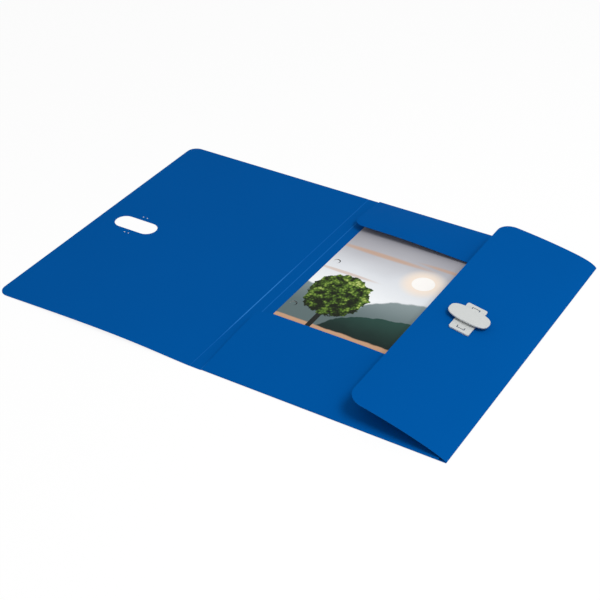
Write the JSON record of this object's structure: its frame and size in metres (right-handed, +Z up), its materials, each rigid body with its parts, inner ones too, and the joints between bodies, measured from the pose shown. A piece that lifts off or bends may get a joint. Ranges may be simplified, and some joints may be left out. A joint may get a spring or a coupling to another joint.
{
  "type": "three flap folder",
  "caption": "Open creased plastic document folder with a cover, spine, back, folded end flaps and a side flap closed by an oval turn button.",
  "frame": {"origin": "centre of the open folder's footprint, on the surface it lies on", "axes": "+X across the open folder from the cover towards the side flap, +Y along the creases, +Z up"},
  "size_m": [0.4646, 0.32, 0.0276],
  "materials": {
    "board": "extruded polypropylene board, fine satin",
    "clasp": "moulded polypropylene, satin",
    "sheets": "printed uncoated paper"
  },
  "bodies": {
    "back": {"back_panel": "board", "paper_sheets": "sheets"},
    "spine": {"spine": "board"},
    "cover": {"front_cover": "board"},
    "flap": {"side_flap": "board", "clasp_base": "clasp"},
    "button": {"clasp_button": "clasp", "clasp_retainer": "clasp"}
  },
  "joints": [
    {"name": "spine_hinge", "type": "hinge", "parent": "back", "child": "spine", "pos_m": [-0.00275, 0, 0.0006], "axis": [0, 1, 0], "range_deg": [0, 90]},
    {"name": "cover_hinge", "type": "hinge", "parent": "spine", "child": "cover", "pos_m": [-0.01425, 0, 0.0006], "axis": [0, 1, 0], "range_deg": [0, 90]},
    {"name": "side_flap_hinge", "type": "hinge", "parent": "back", "child": "flap", "pos_m": [0.23225, 0, 0.00075], "axis": [0, 1, 0], "range_deg": [-8.5, 145]},
    {"name": "clasp_turn", "type": "hinge", "parent": "flap", "child": "button", "pos_m": [0.1735, 0, 0.01837], "axis": [0.1858, 0, 0.9826], "range_deg": [0, 90]}
  ]
}
